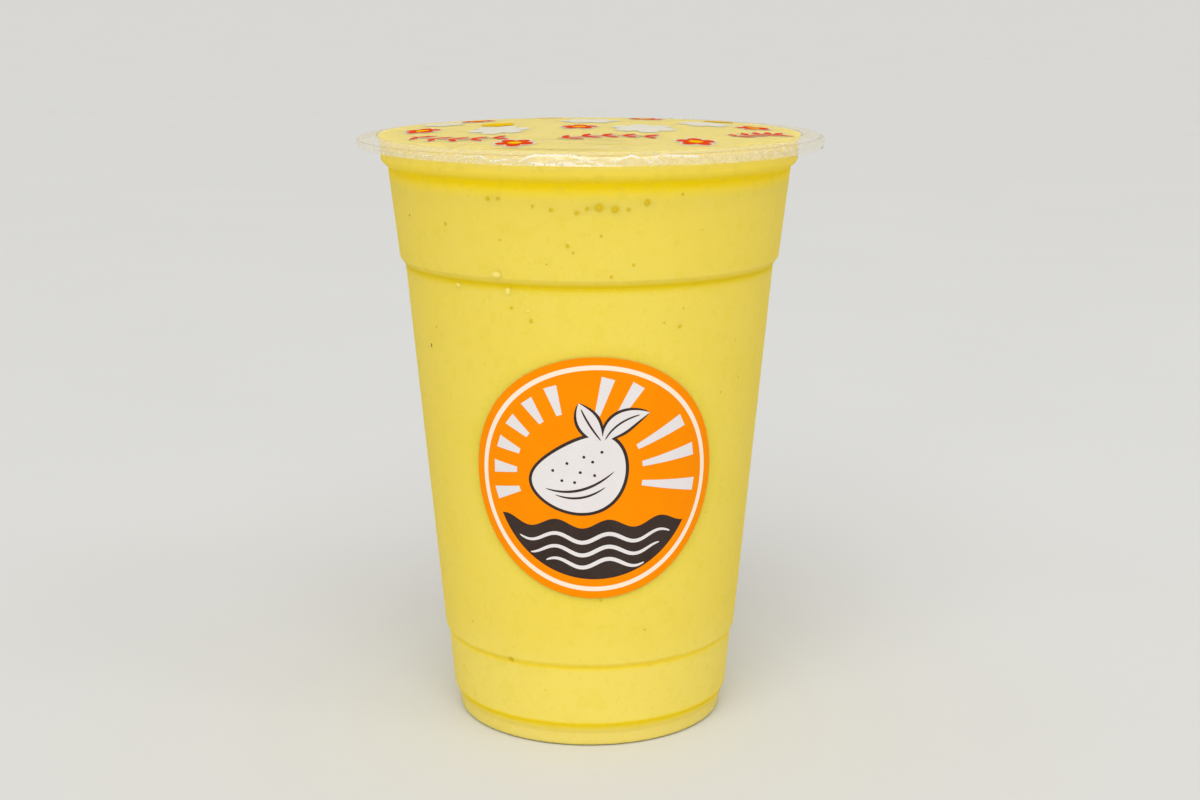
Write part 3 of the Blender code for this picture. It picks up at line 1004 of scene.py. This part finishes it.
def makeLabel():
    # the orange disc, then four layers of ink on it
    s = labelShape
    ring = [circleLine(0, 0, radius, 240) for radius in (s["radius"], *s["border"])]
    disc = motifPiece("label_disc", [discPatch(0, 0, ring[0], 40)], wrapOnCone(s["thickness"]),
                      printInk(s, "labelOrange"), "label_print", s["thickness"])
    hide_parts("label")

    wave = waveLine(s["waveHeight"], 240, -0.6)
    fieldEdge = -np.sqrt(np.maximum(s["fieldRadius"] ** 2 - wave[:, 0] ** 2, 0))
    bowl = np.stack([wave[:, 0], np.minimum(fieldEdge, wave[:, 1])], axis=1)
    a, b, *_, tilt = s["fruit"]
    centre = np.array([a, b])
    reach, turn = s["leafRoot"]
    root = np.array([a + reach * math.cos(tilt + turn), b + reach * math.sin(tilt + turn)])
    leaves = [bend(root, root + through, root + tip) for through, tip in s["leaves"]]
    pale = [discPatch(a, b, fruitOutline(), 10)] + [stroke(leaf, 1.9, 0.9, 4) for leaf in leaves]
    pale += [stroke(waveLine(level, inside=1.6), 0.42, 0.3) for level in s["paleWaves"]]
    under = [ruledPatch(bowl, wave, 10), discPatch(a, b, fruitOutline(0.65), 10)]
    under += [stroke(leaf, 2.5, 0.75, 4) for leaf in leaves]
    lines = [stroke(leaf[2:-4], 0.20, 0.3) for leaf in leaves]
    for start, through, end, half in s["fruitLines"]:
        lines.append(stroke(bend(centre + start, centre + through, centre + end), half, 0.5))
    lines += [discPatch(a + x, b + y, circleLine(a + x, b + y, 0.30, 24), 2) for x, y in s["dots"]]
    cream, white, dark = [printInk(s, name) for name in ("labelCream", "labelWhite", "labelDark")]
    low, second, third, top = s["lift"]
    layers = (("label_border", [ruledPatch(ring[1], ring[2], 2)], cream, low),
              ("label_rays", rayPatches(), white, low), ("label_dark_field", under, dark, second),
              ("label_white_fruit", pale, white, third), ("label_dark_lines", lines, dark, top))
    for name, patches, ink, lift in layers:
        motifPiece(name, patches, wrapOnCone(s["thickness"] + lift), ink, "label_print", s["ink"])


makeLabel()
print("label made")


# Bubbles and specks in the smoothie, pressed against the wall, and small raised dents on the cup whose pale
# tone is a painted highlight

spotShape = {
    # all spots: turn in degrees, height and radius in mm, length as a share of the width
    "bubbles": ((2.8, 112.5, 0.86, 1), (7.0, 112.1, 0.76, 0.9), (15.6, 113.3, 0.70, 1.1),
                (10.6, 112.0, 0.40, 1), (-0.3, 112.3, 0.42, 1), (-3.1, 111.5, 0.45, 1),
                (-9.8, 112.0, 0.42, 1), (-14.8, 112.6, 0.32, 1), (-27.5, 113.7, 0.46, 1),
                (-24.5, 113.8, 0.38, 1), (-43, 108, 0.42, 1), (25.5, 114.6, 0.30, 1),
                (6.3, 99.2, 0.34, 1), (12.4, 101.4, 0.36, 1), (-5.6, 105.2, 0.38, 1),
                (3.4, 107.1, 0.30, 1), (-17, 90.2, 0.40, 1), (28, 88.6, 0.40, 1),
                (-23, 92.5, 0.34, 1), (-31, 18.4, 0.6, 1)),
    "specks": ((-59, 82.2, 0.36, 2.2), (-61, 108.5, 0.20, 1.3)),
    # small raised dents on the cup; their pale tone is a painted highlight
    "glintDents": ((-41.5, 96.0, 0.50, 0.8), (-26.5, 99.1, 0.85, 0.6), (-23.8, 95.8, 0.65, 1.3),
                (-17.8, 92.2, 0.36, 0.7)),
    "randomBubbles": 200,
    "randomRadius": (0.09, 0.30),
    "randomSeed": 41,
    "thickness": 0.07 * mm,
    "rings": 5,
    "columns": 18,
    # looks: tones in the middle, at two thirds and at the rim, and roughness
    "looks": {
        "drinkBubble": ((0.76, 0.54, 0.002), (0.70, 0.48, 0.001), (0.84, 0.62, 0.01), 0.4),
        "drinkSpeck": ((0.13, 0.055, 0.015), (0.20, 0.09, 0.02), (0.50, 0.33, 0.04), 0.6),
        # cup dents: pale tones that are a painted highlight
        "cupDentGlint": ((0.91, 0.785, 0.24), (0.895, 0.745, 0.165), (0.88, 0.705, 0.10), 0.5),
    },
}


def makeSpots(name, spots, depth, thickness, look, slot):
    # a low dome for each spot: (q, w) -> q radii in direction w on the wall, out by thickness * (1 - q^2)
    s = spotShape
    spots = np.array(spots, float)[:, :, None, None]
    turn, height, size = np.radians(spots[:, 0]), spots[:, 1] * mm, spots[:, 2] * mm
    stretch = np.sqrt(spots[:, 3])
    q = np.linspace(0, 1, s["rings"] + 1)[None, :, None]
    w = np.arange(s["columns"]) / s["columns"] * fullTurn
    wobble = 1 + 0.03 * np.sin(2 * w + spots[:, 1]) + 0.02 * np.sin(3 * w + spots[:, 0])
    along = size / stretch * q * wobble * np.cos(w)
    z = height + size * stretch * q * wobble * np.sin(w)
    radius = wallRadius(z) - depth + thickness * (1 - q ** 2)
    points = aroundAxis(radius, turn + along / radius, z)
    one = gridFaces(s["rings"] + 1, s["columns"], flip=True)
    step = (s["rings"] + 1) * s["columns"]
    faces = (one[None] + (np.arange(len(spots)) * step)[:, None, None]).reshape(-1, 4)
    piece = meshPiece(name, points, faces, spotMaterial(look), weld=False,
                      marks={"rim": np.ones_like(z) * q})
    return rideRoot(piece, slot)


def spotMaterial(name):
    # three tones from the middle of a spot to its rim, a little uneven
    middle, ring, edge, roughness = spotShape["looks"][name]
    material = newMaterial(name)
    grain = noise(objectPlace()[0], 0.3 * mm)
    wander = times(calc("SUBTRACT", grain, 0.5), 0.3)
    rim = plus(pointMark("rim"), wander)
    tone = blendColour(ramp(rim, 0.10, 0.70), middle, ring)
    tone = blendColour(ramp(rim, 0.65, 1.0), tone, edge)
    finishMaterial(coated(tone, roughness, 0.1, bump(grain, 0.02 * mm, 0.5)))
    return material


def makeAllSpots():
    # named bubbles and many small ones at random, specks, and dents on the cup with painted highlights
    s = spotShape
    draw = np.random.default_rng(s["randomSeed"])
    count = s["randomBubbles"]
    low, high = s["randomRadius"]
    scattered = np.stack([draw.uniform(-180, 180, count), draw.uniform(7, 116, count),
                          low + (high - low) * draw.random(count) ** 2.2,
                          draw.uniform(0.85, 1.2, count)], axis=1)
    bubbles = np.concatenate([np.array(s["bubbles"], float), scattered])
    inside = drinkShape["intoWall"] - 0.01 * mm
    makeSpots("smoothie_bubbles", bubbles, inside, s["thickness"], "drinkBubble", "mango_smoothie")
    makeSpots("smoothie_specks", s["specks"], inside, s["thickness"], "drinkSpeck", "mango_smoothie")
    makeSpots("cup_dent_glints", s["glintDents"], -0.005 * mm, 0.03 * mm, "cupDentGlint", "clear_plastic")


makeAllSpots()
print("bubbles, specks and marks made")


# Floor, lights, camera

studio = {
    "floorSize": 16.0,
    "floorColour": (0.70, 0.72, 0.735),
    "worldColour": (1.0, 0.95, 0.87),
    "worldStrength": 0.66,
    # soft daylight: degrees to the right of the front, degrees above the floor, spread in degrees, strength
    "daylight": (-6, 48, 50, 1.45),
    # lamps: name, place, width, depth, watts
    "lamps": (
        ("front", (-0.30, -1.9, 0.75), 1.4, 1.1, 2.5),
        ("side", (0.66, -0.50, 1.00), 0.35, 0.25, 1.0),
    ),
    # camera: place in metres, pitch down in degrees, lens and sensor in mm
    "cameraPlace": (0.00219, -0.3962, 0.1547),
    "pitchDown": 12.52,
    "lens": 57.35,
    "sensor": 36.0,
}


def makeFloor():
    # a flat grid of (x, y, 0) whose tone is a little cloudy
    line = np.linspace(-studio["floorSize"], studio["floorSize"], 9)
    x, y = np.meshgrid(line, line)
    material = newMaterial("paleFloor")
    cloud = noise(objectPlace()[0], 0.12, 3.0)
    colour = studio["floorColour"]
    tone = blendColour(cloud, colour, tuple(0.96 * c for c in colour))
    finishMaterial(coated(tone, 0.7, 0.2))
    points = np.stack([x, y, np.zeros_like(x)], axis=-1)
    floor = meshPiece("floor", points, gridFaces(len(line), len(line), closed=False), material, weld=False)


def standInScene(name, data, place, turn):
    # a lamp or camera at its place, turned by three angles
    made = bpy.data.objects.new(name, data)
    made.location = place
    made.rotation_euler = turn
    bpy.context.scene.collection.objects.link(made)
    return made


def makeLights():
    # pale air all round, one broad soft sun, and two lamps that look at the cup
    world = bpy.data.worlds.new("studioAir")
    world.use_nodes = True
    air = world.node_tree.nodes["Background"]
    air.inputs["Color"].default_value = (*studio["worldColour"], 1)
    air.inputs["Strength"].default_value = studio["worldStrength"]
    bpy.context.scene.world = world
    bpy.context.scene.view_settings.view_transform = "Standard"
    bpy.context.scene.view_settings.look = "None"
    side, above, spread, strength = studio["daylight"]
    sun = bpy.data.lights.new("daylight", "SUN")
    sun.energy, sun.angle = strength, math.radians(spread)
    standInScene("daylight", sun, (0, -1, 1), (math.radians(90 - above), 0, math.radians(side)))
    for name, place, width, depth, watts in studio["lamps"]:
        lamp = bpy.data.lights.new(name, "AREA")
        lamp.shape, lamp.size, lamp.size_y, lamp.energy = "RECTANGLE", width, depth, watts
        aim = np.array((0, 0, 0.08)) - np.array(place)
        tilt = math.acos(aim[2] / np.linalg.norm(aim)) - math.pi
        standInScene(name, lamp, place, (tilt, 0, math.atan2(aim[1], aim[0]) + math.pi / 2))


def makeCamera():
    # stands in front of the cup and looks down on it by the pitch
    lens = bpy.data.cameras.new("camera")
    lens.lens, lens.sensor_width, lens.sensor_fit = studio["lens"], studio["sensor"], "HORIZONTAL"
    lens.clip_start, lens.clip_end = 0.01, 100
    turn = (math.radians(90 - studio["pitchDown"]), 0, 0)
    bpy.context.scene.camera = standInScene("camera", lens, studio["cameraPlace"], turn)


makeFloor()
makeLights()
makeCamera()
print("stage made")
